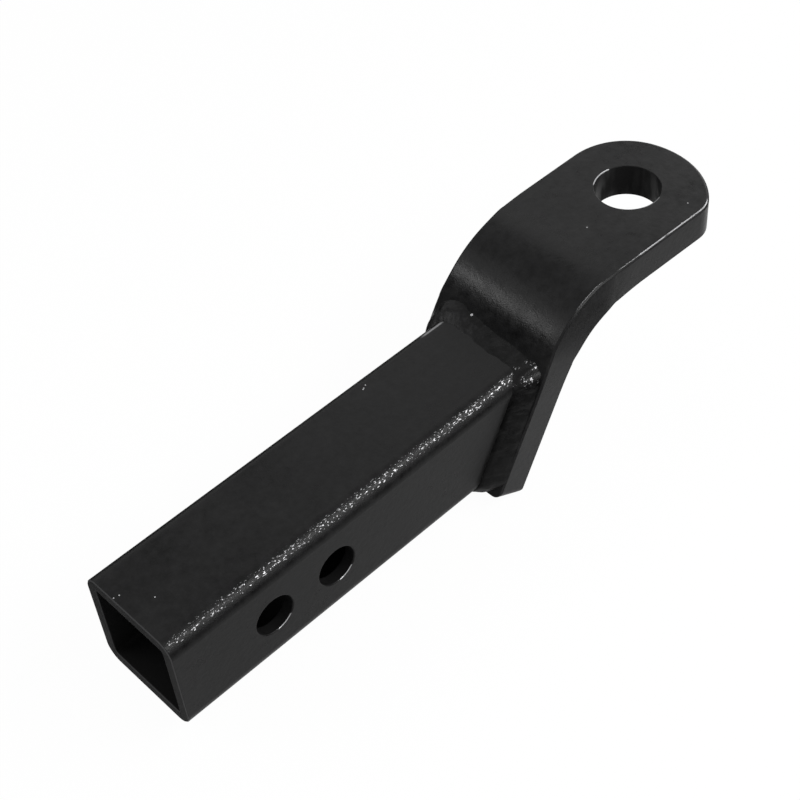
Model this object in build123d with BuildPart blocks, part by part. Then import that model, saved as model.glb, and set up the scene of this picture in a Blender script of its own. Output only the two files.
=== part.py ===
from build123d import *
import os
from math import cos, pi, radians, sin, tan

os.makedirs("parts", exist_ok=True)

# Shank: square hollow section, saw cut at the open end and mitred against the plate
shank_side = 50.0
shank_wall = 5.0
shank_corner = 7.0
shank_inner_corner = 2.0
shank_end_break = 0.5
open_end_to_pin = 46.0
pin_to_plate = 128.9
pin_pitch = 31.5
pin_hole_diameter = 17.8
pin_hole_break = 0.4

# Tongue plate: one flat bar with a single bend, leaning away from the shank and level at the ball
plate_width = 63.5
plate_thickness = 15.5
plate_edge_break = 0.7
plate_lean = 29.5
plate_below_axis = 32.2
bend_above_axis = 31.1
bend_inner_radius = 31.0
bend_to_ball = 42.9
ball_to_tip = 31.5
tip_arc_share = 1.18
far_corner_share = 0.91
near_corner_share = 0.41
near_tip_flare = 1.5
far_tip_taper = 0.4
foot_corner = 4.0
foot_heel_inset = 5.0
foot_heel_radius = 5.2
ball_hole_diameter = 28.5
ball_hole_break = 0.3

# Cold forming draws the outer face of the bend in and swells the inner face, on each side
bend_draw_in = 1.3
bend_swell = 1.2
bend_lead = 14.0
bend_plateau = 1.25
bend_sections = 9

# Weld bead: one convex fillet all the way round the mitred end
bead_reach = 8.8
bead_side_leg = 5.6
bead_top_reach = 6.2
bead_top_leg = 3.4
bead_foot_leg = 1.4
bead_crown = 0.9
bead_corner = 9.0
bead_toe_sink = 0.3
bead_sections = 5

# Worked out from the sizes above. The origin is on the shank's axis, at the first pin hole
lean = radians(plate_lean)
bend_outer_radius = bend_inner_radius + plate_thickness
across = Vector(0, 1, 0)
along_face = Vector(sin(lean), 0, cos(lean))
off_face = Vector(-cos(lean), 0, sin(lean))
face_point = Vector(pin_to_plate, 0, 0)
face_plane = Plane(origin=face_point, x_dir=across, z_dir=off_face)
bend_centre = face_point + along_face * bend_above_axis - off_face * bend_outer_radius
bend_turn = pi / 2 - lean
bend_length = bend_outer_radius * bend_turn
formed_start = -bend_lead
formed_end = bend_length + bend_lead
seat_height = bend_centre.Z + bend_outer_radius
ball_x = bend_centre.X + bend_to_ball
tip_x = ball_x + ball_to_tip
half_width = plate_width / 2
tip_arc_radius = tip_arc_share * half_width


def bar_plane(distance):
    # Section plane at a distance along the outer face, measured from where the bend starts
    turned = min(max(distance / bend_outer_radius, 0), bend_turn)
    straight = distance - turned * bend_outer_radius
    outward = Vector(-cos(lean + turned), 0, sin(lean + turned))
    onward = Vector(sin(lean + turned), 0, cos(lean + turned))
    point = bend_centre + outward * bend_outer_radius + onward * straight
    return Plane(origin=point, x_dir=across, z_dir=onward)


def formed_share(distance):
    # How much of the draw-in and swell is present: all of it in the bend, none past its lead
    half_length = bend_length / 2 + bend_lead
    offset = (distance - bend_length / 2) / half_length
    return min(1, bend_plateau * cos(offset * pi / 2) ** 2)


def bar_section(distance):
    # A rectangle on the straight bar, and a slight trapezium in the bend
    share = formed_share(distance)
    outer = half_width - bend_draw_in * share
    inner = half_width + bend_swell * share
    corners = [(-outer, 0), (outer, 0), (inner, -plate_thickness), (-inner, -plate_thickness)]
    with BuildSketch(bar_plane(distance)) as section:
        Polygon(*corners, align=None)
        chamfer(section.vertices(), plate_edge_break)
    return section.sketch


def bead_section(height):
    # The bead's outline on a plane parallel to the plate's face, at a height off that face
    run = height / bead_reach
    crown = 4 * bead_crown * run * (1 - run)
    slip = height * tan(lean)
    half_slope = shank_side / 2 / cos(lean)
    side = shank_side / 2 + bead_side_leg * (1 - run) - bead_toe_sink * run + crown
    top = half_slope - slip + bead_top_leg * (1 - height / bead_top_reach) + crown
    foot = -half_slope - slip - bead_foot_leg * (1 - run) + bead_toe_sink * run
    corner = bead_corner + (shank_corner - bead_corner) * run
    with BuildSketch(face_plane.offset(height)) as section:
        with Locations((0, -(top + foot) / 2)):
            RectangleRounded(2 * side, top - foot, corner)
    return section.sketch


# Shank tube
with BuildPart() as shank_tube:
    with BuildSketch(Plane.YZ.offset(-open_end_to_pin)):
        RectangleRounded(shank_side, shank_side, shank_corner)
        hollow = shank_side - 2 * shank_wall
        RectangleRounded(hollow, hollow, shank_inner_corner, mode=Mode.SUBTRACT)
    extrude(amount=open_end_to_pin + pin_to_plate + shank_side)
    split(bisect_by=face_plane, keep=Keep.TOP)
    open_end = shank_tube.faces().sort_by(Axis.X)[0]
    chamfer(open_end.edges(), shank_end_break)
    with BuildSketch(Plane.XZ):
        with Locations((0, 0), (pin_pitch, 0)):
            Circle(pin_hole_diameter / 2)
    extrude(amount=shank_side, both=True, mode=Mode.SUBTRACT)
    side_faces = shank_tube.faces().filter_by(Axis.Y).sort_by(Axis.Y)
    rims = (side_faces[0].edges() + side_faces[-1].edges()).filter_by(GeomType.CIRCLE)
    chamfer(rims, pin_hole_break)
shank_tube.part.label = "shank_tube"
export_step(shank_tube.part, "parts/shank_tube.step")

# Tongue plate: the foot behind the weld, the formed bend, and the level end that holds the ball
with BuildPart() as plate_foot:
    foot_length = plate_below_axis + bend_above_axis + formed_start
    extrude(bar_section(formed_start), amount=foot_length, dir=-along_face)
    with BuildSketch(face_plane) as foot_outline:
        with Locations((0, plate_below_axis)):
            Rectangle(plate_width, foot_length, align=(Align.CENTER, Align.MAX))
        fillet(foot_outline.vertices().group_by(Axis.Y)[-1], foot_corner)
    extrude(amount=-plate_thickness, mode=Mode.INTERSECT)
    side_plane = Plane(origin=face_point + across * plate_width, x_dir=-off_face, z_dir=-across)
    with BuildSketch(side_plane):
        with Locations((plate_thickness - foot_heel_inset, foot_heel_inset - plate_below_axis)):
            Rectangle(plate_thickness, plate_thickness, align=(Align.MIN, Align.MAX))
            Circle(foot_heel_radius, mode=Mode.SUBTRACT)
    extrude(amount=2 * plate_width, mode=Mode.SUBTRACT)

with BuildPart() as ball_end:
    level_start = bend_centre.X + bend_lead
    near_side = [(level_start, -half_width), (tip_x, -half_width - near_tip_flare)]
    far_side = [(tip_x, half_width - far_tip_taper), (level_start, half_width)]
    with BuildSketch(Plane.XY.offset(seat_height)) as level_outline:
        with Locations((tip_x - tip_arc_radius, 0)):
            Circle(tip_arc_radius)
            Rectangle(tip_arc_radius, 2 * tip_arc_radius, align=(Align.MAX, Align.CENTER))
        Polygon(*near_side, *far_side, align=None, mode=Mode.INTERSECT)
        fillet(level_outline.vertices().sort_by(Axis.X)[-1], far_corner_share * half_width)
        fillet(level_outline.vertices().sort_by(Axis.Y)[0], near_corner_share * half_width)
    extrude(amount=-plate_thickness)
    rims = ball_end.faces().filter_by(Axis.Z).edges()
    chamfer(rims.sort_by(Axis.X)[2:], plate_edge_break)
    with Locations((ball_x, 0, seat_height)):
        Hole(ball_hole_diameter / 2)
    hole_rims = ball_end.faces().filter_by(Axis.Z).edges().filter_by(GeomType.CIRCLE)
    chamfer(hole_rims.sort_by(Edge.radius)[:2], ball_hole_break)

with BuildPart() as tongue_plate:
    for start, end in ((formed_start, 0), (0, bend_length), (bend_length, formed_end)):
        step = (end - start) / (bend_sections - 1)
        loft([bar_section(start + index * step) for index in range(bend_sections)])
    add(plate_foot.part)
    add(ball_end.part)
tongue_plate.part.label = "tongue_plate"
export_step(tongue_plate.part, "parts/tongue_plate.step")

# Weld bead
with BuildPart() as weld_bead:
    step = bead_reach / (bead_sections - 1)
    loft([bead_section(index * step) for index in range(bead_sections)])
    with BuildSketch(Plane.YZ):
        RectangleRounded(shank_side, shank_side, shank_corner)
    extrude(amount=2 * pin_to_plate, mode=Mode.SUBTRACT)
weld_bead.part.label = "weld_bead"
export_step(weld_bead.part, "parts/weld_bead.step")
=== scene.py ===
import bpy
from math import atan2, cos, exp, floor, hypot, pi, radians, sin, tan
from random import Random
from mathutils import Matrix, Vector, noise


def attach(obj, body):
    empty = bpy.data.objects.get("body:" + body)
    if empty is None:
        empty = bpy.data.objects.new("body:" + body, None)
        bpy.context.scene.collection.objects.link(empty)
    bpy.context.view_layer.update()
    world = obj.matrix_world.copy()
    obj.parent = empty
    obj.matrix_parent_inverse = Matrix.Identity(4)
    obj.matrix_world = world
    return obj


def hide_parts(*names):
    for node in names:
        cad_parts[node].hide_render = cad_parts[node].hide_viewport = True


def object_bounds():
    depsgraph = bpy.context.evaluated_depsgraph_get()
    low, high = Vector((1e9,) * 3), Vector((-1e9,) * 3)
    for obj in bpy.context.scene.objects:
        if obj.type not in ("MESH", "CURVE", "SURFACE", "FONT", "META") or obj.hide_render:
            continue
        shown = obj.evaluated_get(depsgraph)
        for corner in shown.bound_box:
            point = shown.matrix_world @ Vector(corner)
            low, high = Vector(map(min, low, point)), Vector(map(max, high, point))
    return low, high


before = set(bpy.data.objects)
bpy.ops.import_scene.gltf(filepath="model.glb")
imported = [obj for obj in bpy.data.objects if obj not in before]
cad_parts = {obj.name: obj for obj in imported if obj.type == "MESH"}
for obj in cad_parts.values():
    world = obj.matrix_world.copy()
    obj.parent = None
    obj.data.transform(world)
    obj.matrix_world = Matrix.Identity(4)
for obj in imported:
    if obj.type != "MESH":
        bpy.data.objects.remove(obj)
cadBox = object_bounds()
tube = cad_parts["shank_tube"]
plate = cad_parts["tongue_plate"]
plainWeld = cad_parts["weld_bead"]
print("frame loaded, nodes:", ", ".join(sorted(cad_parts)))

# The plate leans back by this many degrees, and the tube's end is mitred to it
plateLean = 29.5


# Camera: the photograph's own viewpoint, in metres, degrees and millimetres of lens
cameraSetup = {
    "place": (-0.193473, -0.339169, 0.497299),
    "turn": (43.1792, 3.8144, -44.1186),
    "lens": 73.759,
    "sensor": 36.0,
    "nearest": 0.01,
}

bpy.ops.object.camera_add(location=cameraSetup["place"])
camera = bpy.context.object
camera.name = "photoCamera"
camera.rotation_euler = [radians(angle) for angle in cameraSetup["turn"]]
camera.data.lens = cameraSetup["lens"]
camera.data.sensor_width = cameraSetup["sensor"]
camera.data.clip_start = cameraSetup["nearest"]
bpy.context.scene.camera = camera
print("camera placed")


# Shader maths: a Wire is one socket, and sums on it add Math nodes
class Wire:
    def __init__(self, maker, socket):
        self.maker = maker
        self.socket = socket

    def math(self, operation, first, second):
        return self.maker.node("Math", {"operation": operation}, {0: first, 1: second})

    def __add__(self, other):
        return self.math("ADD", self, other)

    def __radd__(self, other):
        return self.math("ADD", other, self)

    def __sub__(self, other):
        return self.math("SUBTRACT", self, other)

    def __rsub__(self, other):
        return self.math("SUBTRACT", other, self)

    def __mul__(self, other):
        return self.math("MULTIPLY", self, other)

    def __rmul__(self, other):
        return self.math("MULTIPLY", other, self)

    def __gt__(self, other):
        return self.math("GREATER_THAN", self, other)

    def __lt__(self, other):
        return self.math("LESS_THAN", self, other)

    def __neg__(self):
        return self * -1

    def __abs__(self):
        return self.math("ABSOLUTE", self, 0)


class Shader:
    def __init__(self, tree):
        self.tree = tree
        self.tree.nodes.clear()

    def node(self, kind, settings=None, inputs=None, out=0):
        # Any node: its settings come first, then a value or a Wire for each socket
        made = self.tree.nodes.new("ShaderNode" + kind)
        for name, value in (settings or {}).items():
            setattr(made, name, value)
        for name, value in (inputs or {}).items():
            if isinstance(value, Wire):
                self.tree.links.new(value.socket, made.inputs[name])
            else:
                made.inputs[name].default_value = value
        return Wire(self, made.outputs[out]) if made.outputs else None

    def vector(self, operation, first, second, out=0):
        return self.node("VectorMath", {"operation": operation}, {0: first, 1: second}, out)

    def joined(self, x, y, z):
        return self.node("CombineXYZ", {}, {0: x, 1: y, 2: z})

    def axes(self, vector):
        apart = self.node("SeparateXYZ", {}, {0: vector})
        return [Wire(self, socket) for socket in apart.socket.node.outputs]

    def distance(self, right, up):
        return self.vector("LENGTH", self.joined(right, up, 0.0), (0, 0, 0), "Value")

    def noise(self, where, scale, detail, roughness):
        return self.node("TexNoise", {}, {
            "Vector": where, "Scale": scale, "Detail": detail, "Roughness": roughness})

    def fade(self, value, low, high):
        # 0 below low and 1 above high
        return self.node("MapRange", {"interpolation_type": "SMOOTHSTEP"}, {
            "Value": value, "From Min": low, "From Max": high})

    def between(self, value, low, high, soft):
        # 1 between low and high, fading over a soft distance at both ends
        return self.fade(value, low - soft, low + soft) * (1 - self.fade(value, high - soft, high + soft))


def grey(level):
    return (level, level, level, 1)


def newMaterial(name):
    material = bpy.data.materials.new(name)
    material.use_nodes = True
    return material


def giveMaterial(piece, material):
    piece.data.materials.clear()
    piece.data.materials.append(material)


# Black paint over steel: fine orange peel, mottled gloss and bare steel where the marks below put it. The
# bare flecks and rubbed edges are also painted highlights, and some marks add painted shade and painted
# light to the colour.
# A noise is its scale, detail and roughness, and lengths are in metres
paintLook = {
    "colour": 0.006,
    "blueShare": 1.02,
    # bare flecks and polished rubbed edges: bare steel, bright enough to stand as painted highlights
    "bareGlint": 0.2,
    "polishedGlint": 0.75,
    "speck": 0.32,
    # a paler tone for painted light on the lower plate and the weld's far side
    "paleLight": 0.0055,
    "specular": 0.11,
    "mottle": (240, 4.0, 0.65),
    "mottleShare": 2.0,
    "cloud": (38, 3.0, 0.6),
    "cloudShare": 1.4,
    "mixLowered": 0.7,
    "roughness": 0.34,
    "roughnessSpread": 0.32,
    # how much darker the dull places are: painted shade in the bore, the holes' walls and the open end
    "shadeDarker": 0.6,
    "dullRougher": 0.45,
    "smoothGlossier": 0.1,
    "edgeRadius": 0.0005,
    "edgeSamples": 6,
    "bumpStrength": 0.6,
    "peel": (420, 3.0, 0.55),
    "peelHeight": 0.00012,
    "grain": (1900, 1.0, 0.5),
    "grainHeight": 0.000012,
    "cornerGrain": 0.00014,
    "flecks": (1800, 1.0, 0.5),
    "fleckStretch": (0.45, 1, 1),
    "fleckLevel": 0.655,
    "fleckSoft": 0.12,
    "fleckBand": 0.09,
    "fleckEdge": (0.02, 0.2),
}
weldLook = {**paintLook, "colour": 0.0045, "specular": 0.1, "edgeRadius": 0.00005,
            "peel": (700, 3.0, 0.55), "peelHeight": 0.0002}

# Marks that a piece may have. Dull is rougher and darker, its darkening painted shade; pale is painted
# light; stain is painted shade beside the weld; smooth changes the paint, grainy its surface, and rubbed
# and flecked are bare steel shown bright as painted highlights, and specks show bright
noMarks = {"dullShaded": 0.0, "rubbedGlint": 0.0, "grainy": 0.0, "fleckedGlint": 0.0, "smooth": 0.0, "specks": 0.0,
           "paleLight": 0.0, "creaseShade": 0.0}

# A range has a low and a high end, and one with a third number is soft by that much at both ends.
# A share is how strong the mark is, and specks are places on the part
tubeWear = {
    "cornerAcross": (0.0175, 0.0205),
    "cornerUp": (0.0195, 0.0215),
    "sawnEnd": -0.0454,
    "boreHalf": 0.0203,
    "pinPlaces": (0.0, 0.0315),
    "pinWall": 0.00895,
    "pinRim": (0.009, 0.0092, 0.0001),
    "pinRimSide": -0.0245,
    "pinRimSlope": 0.5,
    "pinRimLow": 0.0093,
    "pinRimShare": 0.5,
    "endEdge": (-0.04595, -0.0455, 0.0001),
    "endEdgeShare": 0.06,
    "farEdgeGlintAcross": (0.0203, 0.0216, 0.0004),
    "farEdgeGlintAlong": (0.125, 0.136, 0.002),
    "farEdgeGlintAbove": 0.02,
    "farEdgeGlintShare": 0.3,
    "fleckGlintFacing": (0, -0.545, 0.838),
    "fleckGlintTurn": (0.95, 0.99),
    "fleckGlintShare": 0.7,
    "fleckGlintGrowth": 2.5,
    "creaseShadeAlong": (0.1165, 0.1215, 0.0012),
    "creaseShadeTop": (0.015, 0.019),
    "specks": (
        (-0.0343, -0.0027, 0.025), (-0.0428, 0.0075, 0.025), (-0.045, 0.008, 0.025),
        (0.0872, 0.0167, 0.025), (0.0879, 0.0171, 0.025), (0.0895, 0.0178, 0.025),
    ),
    "speckRadius": 0.00028,
}

plateWear = {
    "holeAt": 0.2276,
    "holeWall": 0.01435,
    "holeWallBelow": 0.0503,
    "holeBands": (140, 2.0, 0.5),
    "holeBandSquash": 0.3,
    "holeBandFade": (0.46, 0.64),
    "holeRim": (0.0142, 0.0146, 0.0001),
    "holeRimAbove": 0.0502,
    "holeRimUntil": 0.2315,
    "holeRimFar": (0.0138, 0.015),
    "holeRimWander": 0.006,
    "holeRimNear": (0.013, 0.0138),
    "holeRimNearShare": 0.3,
    "holeRimShare": 0.5,
    "patches": (160, 2.0, 0.5),
    "patchFade": (0.3, 0.42),
    "edgeTilt": (0.24, 0.37, 0.05),
    "edgeUp": (0.044, 0.047),
    "edgeGap": (0.176, 0.187, 0.002),
    "edgeEnd": (0.2405, 0.2445),
    "edgeFromHole": 0.02,
    "grainyUp": (0.034, 0.0415, 0.003),
    "grainyShare": 0.5,
    "smoothUp": (0.026, 0.034),
    "smoothAlong": (0.18, 0.196),
    "smoothAcross": (-0.036, -0.01),
    "paleLightUp": (0.027, 0.035),
    "specks": ((0.1972, -0.0041, 0.0507), (0.2249, -0.0312, 0.0507), (0.2362, -0.0251, 0.0507)),
    "speckRadius": 0.00028,
}

weldWear = {
    "grainyPatches": (300, 2.0, 0.6),
    "grainyFade": (0.45, 0.6),
    "palePatches": (330, 3.0, 0.6),
    "paleSlope": 6,
    "paleFade": (0.55, 0.75),
    "paleShare": 1.1,
    "creaseShadeAlong": (0.1195, 0.1212),
    "creaseShadeTop": (0.015, 0.019),
    "cornerAcross": (0.0185, 0.0215),
    "cornerUp": (0.0195, 0.0225),
    "cornerPatches": (330, 1.0, 0.5),
    "cornerPatchFade": (0.54, 0.62),
}

# A short bright mark on the weld's toe, where it meets the plate
toeBrightMark = {
    "specks": ((0.1446, 0.0118, 0.0279), (0.1446, 0.0112, 0.0274)),
    "speckRadius": 0.0008,
}


def speckMarks(maker, where, wear):
    # Round specks, one sum of discs
    specks = 0.0
    for place in wear["specks"]:
        specks = (maker.vector("DISTANCE", where, place, "Value") < wear["speckRadius"]) + specks
    return specks


def tubeMarks(maker, where, rounded):
    # Grainy round corners, bare flecks on the near upper one that also are its painted sparkle highlight,
    # a sawn open end, and a bore that hardly any paint reached, with painted shade darkening the open end,
    # the bore and the pin holes' walls, painted highlights on rubbed edges, and painted shade beside the
    # weld
    wear = tubeWear
    x, y, z = maker.axes(where)
    wide = abs(y)
    high = abs(z)
    facing = maker.vector("DOT_PRODUCT", rounded, wear["fleckGlintFacing"], "Value")
    fromMitre = x - z * tan(radians(plateLean))
    dullShaded = (x < wear["sawnEnd"]) + (wide < wear["boreHalf"]) * (high < wear["boreHalf"])
    rubbedGlint = 0.0
    for pinAt in wear["pinPlaces"]:
        # The pin hole's wall, darkened as painted shade, and the rubbed lower edge of its rim on the near
        # side, bare steel bright as a painted highlight
        right = x - pinAt
        fromPin = maker.distance(right, z)
        rim = maker.between(fromPin, *wear["pinRim"]) * (y < wear["pinRimSide"])
        rim = rim * (right * wear["pinRimSlope"] - z > wear["pinRimLow"])
        rubbedGlint = rim * wear["pinRimShare"] + rubbedGlint
        dullShaded = dullShaded + (fromPin < wear["pinWall"]) * (high < wear["boreHalf"]) * (wide > wear["boreHalf"])
    # A faint painted highlight along the edge of the open end
    rubbedGlint = maker.between(x, *wear["endEdge"]) * wear["endEdgeShare"] + rubbedGlint
    # A painted highlight along the far upper corner, beside the weld
    farEdgeGlint = maker.between(y, *wear["farEdgeGlintAcross"]) * (z > wear["farEdgeGlintAbove"])
    farEdgeGlint = farEdgeGlint * maker.between(x, *wear["farEdgeGlintAlong"])
    # Bare flecks kept to the corner normals that mirror the key light, thicker towards the weld: a painted
    # sparkle highlight
    fleckedGlint = maker.fade(facing, *wear["fleckGlintTurn"]) * (wear["fleckGlintShare"] + x * wear["fleckGlintGrowth"])
    return {
        "grainy": maker.fade(wide, *wear["cornerAcross"]) * maker.fade(high, *wear["cornerUp"]),
        "dullShaded": dullShaded,
        "rubbedGlint": rubbedGlint + farEdgeGlint * wear["farEdgeGlintShare"],
        "fleckedGlint": fleckedGlint * (1 - dullShaded),
        # Painted shade: a darker band on the tube beside the weld's toe, below the top
        "creaseShade": maker.between(fromMitre, *wear["creaseShadeAlong"]) * (1 - maker.fade(z, *wear["creaseShadeTop"])),
        "specks": speckMarks(maker, where, wear),
    }


def plateMarks(maker, where, rounded):
    # Rubbed rim of the ball hole and rubbed near edge, bare steel bright as painted highlights where the
    # light catches them; banded wall of the ball hole, darkened as painted shade; grainy and glossy bands
    # on the bend; painted light making the lower plate paler
    wear = plateWear
    x, y, z = maker.axes(where)
    fromHole = maker.distance(x - wear["holeAt"], y)
    patches = maker.noise(where, *wear["patches"])
    bands = maker.noise(maker.joined(x, y, z * wear["holeBandSquash"]), *wear["holeBands"])
    wall = (fromHole < wear["holeWall"]) * (z < wear["holeWallBelow"])
    # The rim's bright sides are the far side and, fainter, the near side: painted highlights
    rimSides = maker.fade(y + patches * wear["holeRimWander"], *wear["holeRimFar"])
    rimSides = rimSides + maker.fade(-y, *wear["holeRimNear"]) * wear["holeRimNearShare"]
    rim = maker.between(fromHole, *wear["holeRim"]) * (z > wear["holeRimAbove"])
    rim = rim * (x < wear["holeRimUntil"]) * rimSides
    # A painted highlight along the near upper edge of the plate, broken by a gap, as bare steel
    tilt = -maker.axes(rounded)[1]
    edge = maker.between(tilt, *wear["edgeTilt"]) * maker.fade(z, *wear["edgeUp"])
    edge = edge * maker.fade(patches, *wear["patchFade"])
    edge = edge * (1 - maker.between(x, *wear["edgeGap"])) * (1 - maker.fade(x, *wear["edgeEnd"]))
    smooth = maker.fade(z, *wear["smoothUp"]) * (1 - maker.fade(x, *wear["smoothAlong"]))
    return {
        "rubbedGlint": rim * wear["holeRimShare"] + edge * (fromHole > wear["edgeFromHole"]),
        # Painted shade: the ball hole's wall darker in bands
        "dullShaded": wall * maker.fade(bands, *wear["holeBandFade"]),
        "grainy": maker.between(z, *wear["grainyUp"]) * wear["grainyShare"],
        "smooth": smooth * maker.fade(y, *wear["smoothAcross"]),
        # Painted light: the plate below the bend paler
        "paleLight": 1 - maker.fade(z, *wear["paleLightUp"]),
        "specks": speckMarks(maker, where, wear) + speckMarks(maker, where, toeBrightMark),
    }


def weldMarks(maker, where, rounded):
    # Grainy in patches, pale in patches and more towards the far side as painted light, darker beside the
    # tube as painted shade, flecked only at the near upper corner as bare steel bright as a painted
    # sparkle highlight
    wear = weldWear
    x, y, z = maker.axes(where)
    fromMitre = x - z * tan(radians(plateLean))
    # Painted light: paler towards the far side, over random patches
    paleLight = maker.noise(where, *wear["palePatches"]) + y * wear["paleSlope"]
    corner = maker.fade(-y, *wear["cornerAcross"]) * maker.fade(z, *wear["cornerUp"])
    cornerPatches = maker.noise(where, *wear["cornerPatches"])
    return {
        "grainy": maker.fade(maker.noise(where, *wear["grainyPatches"]), *wear["grainyFade"]),
        "paleLight": maker.fade(paleLight, *wear["paleFade"]) * wear["paleShare"],
        # Painted shade beside the tube's toe
        "creaseShade": (1 - maker.fade(fromMitre, *wear["creaseShadeAlong"])) * (1 - maker.fade(z, *wear["creaseShadeTop"])),
        # Painted sparkle highlight: bare flecks at the near upper corner
        "fleckedGlint": corner * maker.fade(cornerPatches, *wear["cornerPatchFade"]),
        "specks": speckMarks(maker, where, toeBrightMark),
    }


def blackPaint(name, look, marks):
    material = newMaterial(name)
    maker = Shader(material.node_tree)
    where = maker.node("TexCoord", {}, {}, "Object")
    rounded = maker.node("Bevel", {"samples": look["edgeSamples"]}, {"Radius": look["edgeRadius"]})
    masks = {**noMarks, **marks(maker, where, rounded)}

    # Bare flecks where the flecked mark crowds them, bright as painted sparkle highlights
    flecks = maker.noise(maker.vector("MULTIPLY", where, look["fleckStretch"]), *look["flecks"])
    crowd = flecks + masks["fleckedGlint"] * look["fleckBand"]
    wornGlint = maker.fade(crowd, look["fleckLevel"], look["fleckLevel"] + look["fleckSoft"])
    wornGlint = wornGlint * maker.fade(masks["fleckedGlint"], *look["fleckEdge"])

    mottle = maker.noise(where, *look["mottle"])
    cloud = maker.noise(where, *look["cloud"])
    base = mottle * look["mottleShare"] + cloud * look["cloudShare"] - look["mixLowered"]
    # Painted shade: darker where the dull and stain marks are
    base = base * look["colour"] * (1 - masks["dullShaded"] * look["shadeDarker"]) * (1 - masks["creaseShade"])
    # Painted highlights from bare flecks and rubbed edges, and painted light from the pale mark
    level = base + wornGlint * look["bareGlint"] + masks["rubbedGlint"] * look["polishedGlint"]
    level = level + masks["specks"] * look["speck"] + masks["paleLight"] * look["paleLight"]
    tone = maker.node("CombineColor", {}, {0: level, 1: level, 2: level * look["blueShare"]})
    rough = look["roughness"] + (mottle + cloud - 1) * look["roughnessSpread"]
    rough = rough + masks["dullShaded"] * look["dullRougher"] - masks["smooth"] * look["smoothGlossier"]

    peel = maker.noise(where, *look["peel"]) * look["peelHeight"]
    grain = maker.noise(where, *look["grain"])
    height = peel + grain * (look["grainHeight"] + masks["grainy"] * look["cornerGrain"])
    bump = maker.node("Bump", {}, {
        "Height": height, "Distance": 1.0, "Strength": look["bumpStrength"], "Normal": rounded})
    surface = maker.node("BsdfPrincipled", {}, {
        "Base Color": tone,
        "Roughness": rough,
        "Metallic": wornGlint + masks["rubbedGlint"],
        "Specular IOR Level": look["specular"],
        "Normal": bump,
    })
    maker.node("OutputMaterial", {}, {"Surface": surface})
    return material


giveMaterial(tube, blackPaint("tubePaint", paintLook, tubeMarks))
giveMaterial(plate, blackPaint("platePaint", paintLook, plateMarks))
giveMaterial(plainWeld, blackPaint("weldPaint", weldLook, weldMarks))
print("paint made")


# Weld bead: one ring of weld round the mitred end of the tube, in millimetres along and across the seam
weldSetup = {
    "faceAt": 128.9,
    "tubeHalf": 25.0,
    "tubeCorner": 7.0,
    "stations": 180,
    "sides": 8,
    "finer": 2,
    "ringRadius": 0.05,
    "ringThickness": 0.01,
    "smoothAngle": 50,
    "shownShare": 0.7,
    "sunk": 0.12,
    "rootDepth": 1.0,
    # place along the seam from the middle of the top, leg on the plate, reach along the tube, crown
    "shape": (
        (0, 2.4, 6.1, 0.5), (7, 1.9, 7.0, 0.5), (12, 2.2, 6.6, 0.5), (16, 1.5, 6.6, 0.6),
        (20, 1.1, 7.5, 0.9), (23.5, 3.6, 9.0, 1.2), (26.5, 5.3, 9.0, 1.0), (29, 5.6, 8.9, 0.7),
        (47, 5.7, 8.6, 0.6), (65, 6.8, 8.4, 0.6), (70.5, 5.6, 8.0, 0.6), (76, 2.7, 7.0, 0.4),
        (94, 2.3, 6.4, 0.4), (112, 2.7, 7.0, 0.4), (117.5, 4.4, 8.0, 0.6), (123, 5.8, 8.4, 0.6),
        (141, 5.5, 8.6, 0.6), (159, 5.9, 7.6, 0.8), (164.5, 6.1, 5.8, 0.9), (170, 5.5, 5.3, 0.7),
        (174.6, 4.4, 5.3, 0.6), (180, 3.8, 5.4, 0.5),
    ),
    "rippleLength": 2.1,
    "rippleHeight": 0.06,
    "rippleSpread": (0.4, 1.3),
    "rippleSweep": 1.6,
    "rippleRise": 3,
    "wander": 0.16,
    "wanderWaves": 9,
    "wanderTurns": (3, 26),
    "plateSteadier": 3,
    "tubeSteadier": 2,
    "lumpAt": 24.6,
    "lumpWidth": 2.4,
    "lumpHeight": 0.7,
    "lumpiness": 0.28,
    "lumpSize": 3.2,
    "lumpRise": 2,
    "perMetre": 1000,
    "seed": 11,
}


def seamLength(setup):
    flat = 2 * (setup["tubeHalf"] - setup["tubeCorner"])
    return 4 * flat + 2 * pi * setup["tubeCorner"]


def seamPoint(setup, place):
    # Point of the tube's outline and its outward direction, across and up, from the middle of the top
    half = setup["tubeHalf"] - setup["tubeCorner"]
    corner = pi / 2 * setup["tubeCorner"]
    place = (place + half) % seamLength(setup)
    side = int(place // (2 * half + corner))
    along = place - side * (2 * half + corner)
    turn = max(0, along - 2 * half) / setup["tubeCorner"]
    across = half - min(along, 2 * half)
    point = (across - sin(turn) * setup["tubeCorner"], half + cos(turn) * setup["tubeCorner"])
    out = (-sin(turn), cos(turn))
    for _ in range(side):
        point = (-point[1], point[0])
        out = (-out[1], out[0])
    return point, out


def blendShape(setup, place):
    # Leg, reach and crown at a place, eased from one row of the shape to the next
    rows = setup["shape"]
    length = seamLength(setup)
    rows = [(rows[-1][0] - length, *rows[-1][1:]), *rows, (length, *rows[0][1:])]
    for before, after in zip(rows, rows[1:]):
        if before[0] <= place <= after[0]:
            share = (place - before[0]) / (after[0] - before[0])
            share = share * share * (3 - 2 * share)
            return [low + (high - low) * share for low, high in zip(before[1:], after[1:])]


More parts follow.
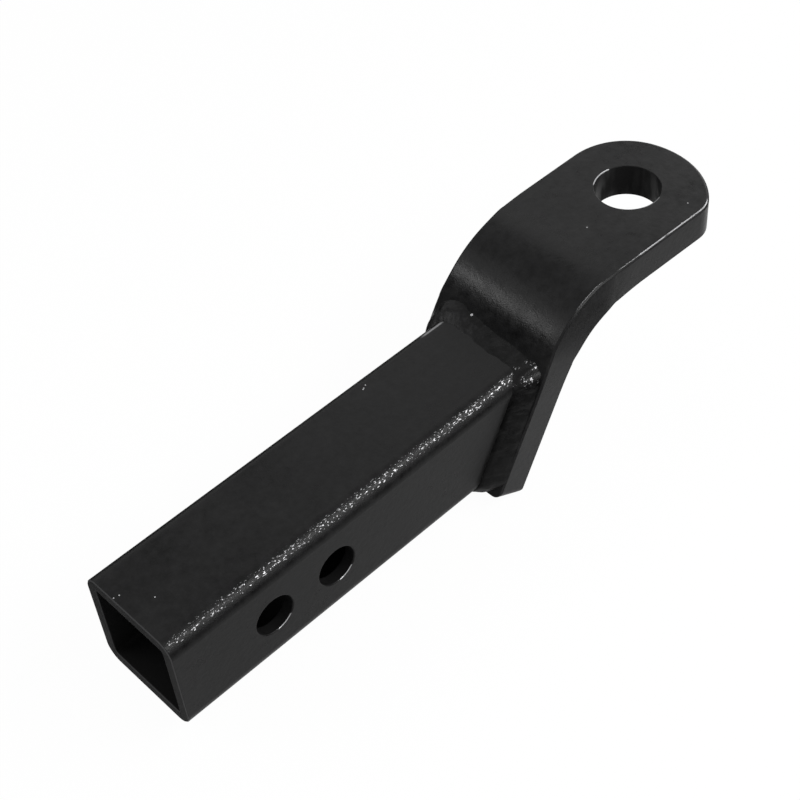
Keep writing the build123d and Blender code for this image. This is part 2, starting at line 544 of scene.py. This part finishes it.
def weldPoint(setup, place, side, heights, waves):
    # Side goes from the toe on the plate over the crown to the toe on the tube, then back by the root.
    # Belly and scallop are 0 at both ends of their run and 1 in its middle
    lean = radians(plateLean)
    (across, up), (outAcross, outUp) = seamPoint(setup, place)
    plateLeg, reach, crown = blendShape(setup, place)
    turns = 2 * pi * place / seamLength(setup)
    plateWaves = sum(sin(count * turns + first) for count, first, _ in waves)
    tubeWaves = sum(sin(count * turns + second) for count, _, second in waves)
    plateLeg += setup["wander"] * plateWaves / setup["plateSteadier"]
    reach += setup["wander"] * tubeWaves / setup["tubeSteadier"]
    root = Vector((setup["faceAt"] + up * tan(lean), across, up))
    onFace = Vector((outUp * sin(lean), outAcross, outUp * cos(lean)))
    inward = Vector((0, -outAcross, -outUp))
    intoPlate = Vector((cos(lean), 0, -sin(lean)))
    plateToe = root + onFace.normalized() * plateLeg + intoPlate * setup["sunk"]
    tubeToe = root + Vector((-reach / cos(lean), 0, 0)) + inward * setup["sunk"]
    if side > setup["shownShare"]:
        share = (side - setup["shownShare"]) / (1 - setup["shownShare"])
        deep = root + (inward + intoPlate) * setup["rootDepth"]
        return tubeToe.lerp(deep, 2 * share) if share < 0.5 else deep.lerp(plateToe, 2 * share - 1)
    share = side / setup["shownShare"]
    belly = 4 * share * (1 - share)
    ripple = (place - setup["rippleSweep"] * (2 * share - 1) ** 2) / setup["rippleLength"]
    height = heights[int(floor(ripple)) % len(heights)]
    scallop = (1 - (2 * (ripple % 1) - 1) ** 2) * height * min(1, setup["rippleRise"] * belly)
    point = plateToe.lerp(tubeToe, share)
    lump = setup["lumpHeight"] * exp(-((place - setup["lumpAt"]) / setup["lumpWidth"]) ** 2) * belly
    lump += setup["lumpiness"] * noise.noise(point / setup["lumpSize"]) * min(1, setup["lumpRise"] * belly)
    outward = ((plateToe + tubeToe) / 2 - root).normalized()
    return point + outward * (crown * belly + setup["rippleHeight"] * scallop + lump)


def makeWeld(setup):
    dice = Random(setup["seed"])
    length = seamLength(setup)
    ripples = int(length / setup["rippleLength"])
    heights = [dice.uniform(*setup["rippleSpread"]) for _ in range(ripples)]
    waves = [(dice.randint(*setup["wanderTurns"]), dice.uniform(0, 2 * pi), dice.uniform(0, 2 * pi))
             for _ in range(setup["wanderWaves"])]
    bpy.ops.object.select_all(action="DESELECT")
    bpy.ops.mesh.primitive_torus_add(major_segments=setup["stations"], minor_segments=setup["sides"],
                                     major_radius=setup["ringRadius"], minor_radius=setup["ringThickness"])
    weld = bpy.context.object
    weld.name = "weldBead"
    finer = weld.modifiers.new("finer", "SUBSURF")
    finer.subdivision_type = "SIMPLE"
    finer.levels = finer.render_levels = setup["finer"]
    bpy.ops.object.modifier_apply(modifier=finer.name)
    for vertex in weld.data.vertices:
        # The ring's turn becomes the place along the seam, and its tube's turn the side of the bead
        x, y, z = vertex.co
        place = length * (atan2(y, x) / (2 * pi) % 1)
        side = atan2(z, hypot(x, y) - setup["ringRadius"]) / (2 * pi) % 1
        vertex.co = weldPoint(setup, place, side, heights, waves) / setup["perMetre"]
    bpy.ops.object.mode_set(mode="EDIT")
    bpy.ops.mesh.select_all(action="SELECT")
    bpy.ops.mesh.normals_make_consistent(inside=False)
    bpy.ops.object.mode_set(mode="OBJECT")
    bpy.ops.object.shade_smooth_by_angle(angle=radians(setup["smoothAngle"]))
    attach(weld, "root")
    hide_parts("weld_bead")
    giveMaterial(weld, plainWeld.data.materials[0])
    return weld


weld = makeWeld(weldSetup)
print("weld made:", len(weld.data.vertices), "vertices")


# Stage: pale floor and white surround, in metres. Shares are how much white a kind of ray sees
stageSetup = {
    "floorCentre": (0.1, 0),
    "floorRadius": 60.0,
    "floorDrop": 0.0005,
    "floorWhite": 0.75,
    "whiteShare": 0.97,
    "mirrorShare": 0.3,
    "worldLight": 0.45,
    "roundSides": 96,
}


def seenWhite(maker, cameraShare=1.0, mirrorShare=1.0):
    # How much white is seen, by the camera and by glossy and transmission rays
    seenByCamera = maker.node("LightPath", {}, {}, "Is Camera Ray")
    seenInGloss = maker.node("LightPath", {}, {}, "Is Glossy Ray")
    seenThrough = maker.node("LightPath", {}, {}, "Is Transmission Ray")
    return seenByCamera * cameraShare + (seenInGloss + seenThrough) * mirrorShare


bpy.ops.object.select_all(action="DESELECT")
floorHeight = cadBox[0].z - stageSetup["floorDrop"]
bpy.ops.mesh.primitive_circle_add(vertices=stageSetup["roundSides"], radius=stageSetup["floorRadius"],
                                  fill_type="NGON", location=(*stageSetup["floorCentre"], floorHeight))
ground = bpy.context.object
ground.name = "floor"
floorMaterial = newMaterial("paleFloor")
maker = Shader(floorMaterial.node_tree)
lit = maker.node("BsdfDiffuse", {}, {"Color": grey(stageSetup["floorWhite"])})
white = maker.node("Emission", {}, {"Color": grey(1), "Strength": 1.0})
share = seenWhite(maker, stageSetup["whiteShare"], stageSetup["mirrorShare"])
mixed = maker.node("MixShader", {}, {0: share, 1: lit, 2: white})
maker.node("OutputMaterial", {}, {"Surface": mixed})
giveMaterial(ground, floorMaterial)

world = bpy.data.worlds.new("studio")
world.use_nodes = True
bpy.context.scene.world = world
maker = Shader(world.node_tree)
dim = maker.node("Background", {}, {"Color": grey(1), "Strength": stageSetup["worldLight"]})
white = maker.node("Background", {}, {"Color": grey(1), "Strength": 1.0})
mixed = maker.node("MixShader", {}, {0: seenWhite(maker), 1: dim, 2: white})
maker.node("OutputWorld", {}, {"Surface": mixed})
print("floor and surround made")

# Dark cards shape the reflections, as black flags do in a studio: no other ray sees them.
# The tub is a wide ring just over the floor, with a low wall at its outer edge. The other card
# stands off the tube's open end, on the far side, where the bend mirrors it
cardSetup = {
    "tubCentre": (0.16, -0.01),
    "tubLift": 0.001,
    "tubTurn": -8.0,
    "tubInner": (0.34, 0.13),
    "tubOuter": 2.5,
    "tubWall": 0.22,
    "bendCardFrom": (0.15, 0, 0.03),
    "bendCardToward": (-0.84, 0.504, 0.17),
    "bendCardDistance": 1.6,
    "bendCardSize": (1.6, 0.6),
}

cardMaterial = newMaterial("blackCard")
maker = Shader(cardMaterial.node_tree)
maker.node("OutputMaterial", {}, {"Surface": maker.node("BsdfDiffuse", {}, {"Color": grey(0)})})


def makeCard(card, name):
    card.name = name
    giveMaterial(card, cardMaterial)
    card.visible_camera = False
    card.visible_diffuse = False
    card.visible_transmission = False
    card.visible_shadow = False


bpy.ops.object.select_all(action="DESELECT")
bpy.ops.mesh.primitive_circle_add(vertices=stageSetup["roundSides"], radius=1.0, fill_type="NOTHING",
                                  location=(*cardSetup["tubCentre"], floorHeight + cardSetup["tubLift"]),
                                  rotation=(0, 0, radians(cardSetup["tubTurn"])))
tub = bpy.context.object
innerLong, innerWide = cardSetup["tubInner"]
outer = cardSetup["tubOuter"]
bpy.ops.object.mode_set(mode="EDIT")
bpy.ops.mesh.select_all(action="SELECT")
bpy.ops.transform.resize(value=(innerLong, innerWide, 1))
bpy.ops.mesh.extrude_edges_move()
bpy.ops.transform.resize(value=(outer / innerLong, outer / innerWide, 1))
bpy.ops.mesh.extrude_edges_move(TRANSFORM_OT_translate={"value": (0, 0, cardSetup["tubWall"])})
bpy.ops.object.mode_set(mode="OBJECT")
makeCard(tub, "darkTub")

toward = Vector(cardSetup["bendCardToward"]).normalized()
bendCardPlace = Vector(cardSetup["bendCardFrom"]) + toward * cardSetup["bendCardDistance"]
bpy.ops.mesh.primitive_plane_add(size=1, location=bendCardPlace,
                                 rotation=toward.to_track_quat("Z", "Y").to_euler())
bendCard = bpy.context.object
bendCard.scale = (*cardSetup["bendCardSize"], 1)
makeCard(bendCard, "bendCard")
print("cards made")

# Soft boxes: each stands at a distance from a point of the part, and faces it
softBoxes = {
    "keyBox": {"toward": (0.37, -0.59, 0.72), "from": (0.05, -0.02, 0.02), "distance": 1.05,
               "size": (1.1, 0.25), "power": 11.0},
    "fillBox": {"toward": (0.37, -0.86, 0.36), "from": (0.05, -0.02, 0.02), "distance": 1.2,
                "size": (0.9, 0.35), "power": 2.0},
    "bendBox": {"toward": (-0.66, 0.504, 0.56), "from": (0.15, 0, 0.03), "distance": 1.0,
                "size": (0.5, 0.12), "power": 2.0},
    "bendFill": {"toward": (-0.5, 0.504, 0.71), "from": (0.15, 0, 0.03), "distance": 1.0,
                 "size": (0.5, 0.25), "power": 0.5},
    "levelBox": {"toward": (0.9, 0.36, 0.27), "from": (0.22, 0, 0.05), "distance": 1.2,
                 "size": (0.65, 0.7), "power": 3.3},
    "topBox": {"toward": (0.47, 0.5, 0.7), "from": (0.09, 0, 0.03), "distance": 1.2,
               "size": (0.4, 0.4), "power": 0.45},
}

for name, box in softBoxes.items():
    direction = Vector(box["toward"]).normalized()
    bpy.ops.object.light_add(type="AREA", location=Vector(box["from"]) + direction * box["distance"])
    lamp = bpy.context.object
    lamp.name = name
    lamp.rotation_euler = direction.to_track_quat("Z", "Y").to_euler()
    lamp.data.shape = "RECTANGLE"
    lamp.data.size, lamp.data.size_y = box["size"]
    lamp.data.energy = box["power"]
    lamp.visible_camera = False
print("lights made")

bpy.context.scene.view_settings.view_transform = "Standard"
